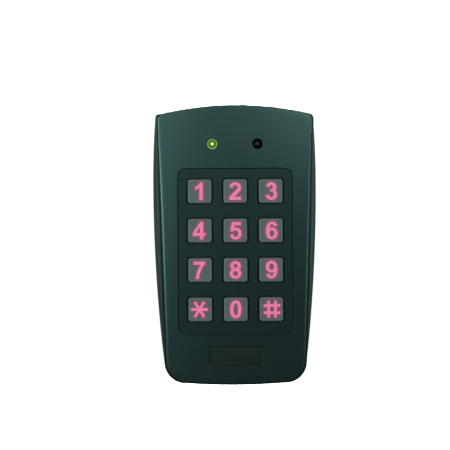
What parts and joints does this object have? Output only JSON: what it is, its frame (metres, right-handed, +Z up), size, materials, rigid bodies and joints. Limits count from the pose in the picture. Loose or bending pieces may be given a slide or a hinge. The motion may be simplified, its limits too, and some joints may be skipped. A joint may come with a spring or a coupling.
{
  "type": "keypad access reader",
  "caption": "Wall-mounted access reader with a crowned tapered housing, a recessed square-key keypad, two indicator lamps above it, and a hook-on back plate with a cable.",
  "frame": {"origin": "on the wall plane, on the housing's vertical centreline, at mid height", "axes": "+X to the right for a user who faces the keypad, +Y into the wall, +Z up; the front faces -Y"},
  "size_m": [0.08, 0.0547, 0.138],
  "materials": {
    "cover_plastic": "dark green-black moulded plastic with a fine spark texture",
    "key_plastic": "grey-green satin plastic, fine texture, pink back-lit legend",
    "legend_pink": "pink back-lit key legends, moulded through the cap",
    "mat_rubber": "translucent grey silicone",
    "badge_plastic": "blank dark plate, satin",
    "inner_plastic": "black moulded plastic",
    "black_rubber": "black rubber",
    "board_laminate": "green solder mask over glass laminate",
    "chip_epoxy": "black moulded epoxy",
    "can_aluminium": "bare drawn can",
    "coil_copper": "enamelled copper wire",
    "brass": "bare brass",
    "screw_steel": "zinc plated steel",
    "green_lens": "green lamp, lit",
    "smoked_lens": "dark red lamp, unlit",
    "lamp_body": "white surface-mount lamp",
    "header_nylon": "natural nylon",
    "wire_red_insulation": "PVC wire insulation",
    "wire_black_insulation": "PVC wire insulation",
    "wire_green_insulation": "PVC wire insulation",
    "wire_white_insulation": "PVC wire insulation",
    "wire_blue_insulation": "PVC wire insulation",
    "wire_brown_insulation": "PVC wire insulation"
  },
  "bodies": {
    "housing": {"antenna_coil": "coil_copper", "back_plate": "inner_plastic", "backlight_1": "lamp_body", "backlight_2": "lamp_body", "backlight_3": "lamp_body", "backlight_4": "lamp_body", "backlight_5": "lamp_body", "backlight_6": "lamp_body", "badge_plate": "badge_plastic", "buzzer": "chip_epoxy", "cable_grommet": "black_rubber", "cable_jacket": "black_rubber", "capacitor": "can_aluminium", "cover_gasket": "black_rubber", "cover_screw_1": "screw_steel", "cover_screw_2": "screw_steel", "cover_screw_3": "screw_steel", "cover_screw_4": "screw_steel", "front_cover": "cover_plastic", "keypad_mat": "mat_rubber", "main_pcb": "board_laminate", "microcontroller": "chip_epoxy", "mode_led": "smoked_lens", "pcb_screw_1": "screw_steel", "pcb_screw_2": "screw_steel", "pcb_screw_3": "screw_steel", "pcb_screw_4": "screw_steel", "rear_cover": "inner_plastic", "screw_insert": "brass", "security_screw": "screw_steel", "status_led": "green_lens", "tamper_sensor": "chip_epoxy", "voltage_regulator": "chip_epoxy", "wire_black": "wire_black_insulation", "wire_blue": "wire_blue_insulation", "wire_brown": "wire_brown_insulation", "wire_green": "wire_green_insulation", "wire_header": "header_nylon", "wire_red": "wire_red_insulation", "wire_white": "wire_white_insulation"},
    "key_1": {"key_1": "key_plastic"},
    "key_2": {"key_2": "key_plastic"},
    "key_3": {"key_3": "key_plastic"},
    "key_4": {"key_4": "key_plastic"},
    "key_5": {"key_5": "key_plastic"},
    "key_6": {"key_6": "key_plastic"},
    "key_7": {"key_7": "key_plastic"},
    "key_8": {"key_8": "key_plastic"},
    "key_9": {"key_9": "key_plastic"},
    "key_star": {"key_star": "key_plastic"},
    "key_0": {"key_0": "key_plastic"},
    "key_hash": {"key_hash": "key_plastic"}
  },
  "joints": [
    {"name": "key_1_press", "type": "slide", "parent": "housing", "child": "key_1", "axis": [0, 1, 0], "range_m": [0, 0.0012], "deforming": ["keypad_mat"]},
    {"name": "key_2_press", "type": "slide", "parent": "housing", "child": "key_2", "axis": [0, 1, 0], "range_m": [0, 0.0012], "deforming": ["keypad_mat"]},
    {"name": "key_3_press", "type": "slide", "parent": "housing", "child": "key_3", "axis": [0, 1, 0], "range_m": [0, 0.0012], "deforming": ["keypad_mat"]},
    {"name": "key_4_press", "type": "slide", "parent": "housing", "child": "key_4", "axis": [0, 1, 0], "range_m": [0, 0.0012], "deforming": ["keypad_mat"]},
    {"name": "key_5_press", "type": "slide", "parent": "housing", "child": "key_5", "axis": [0, 1, 0], "range_m": [0, 0.0012], "deforming": ["keypad_mat"]},
    {"name": "key_6_press", "type": "slide", "parent": "housing", "child": "key_6", "axis": [0, 1, 0], "range_m": [0, 0.0012], "deforming": ["keypad_mat"]},
    {"name": "key_7_press", "type": "slide", "parent": "housing", "child": "key_7", "axis": [0, 1, 0], "range_m": [0, 0.0012], "deforming": ["keypad_mat"]},
    {"name": "key_8_press", "type": "slide", "parent": "housing", "child": "key_8", "axis": [0, 1, 0], "range_m": [0, 0.0012], "deforming": ["keypad_mat"]},
    {"name": "key_9_press", "type": "slide", "parent": "housing", "child": "key_9", "axis": [0, 1, 0], "range_m": [0, 0.0012], "deforming": ["keypad_mat"]},
    {"name": "key_star_press", "type": "slide", "parent": "housing", "child": "key_star", "axis": [0, 1, 0], "range_m": [0, 0.0012], "deforming": ["keypad_mat"]},
    {"name": "key_0_press", "type": "slide", "parent": "housing", "child": "key_0", "axis": [0, 1, 0], "range_m": [0, 0.0012], "deforming": ["keypad_mat"]},
    {"name": "key_hash_press", "type": "slide", "parent": "housing", "child": "key_hash", "axis": [0, 1, 0], "range_m": [0, 0.0012], "deforming": ["keypad_mat"]}
  ]
}
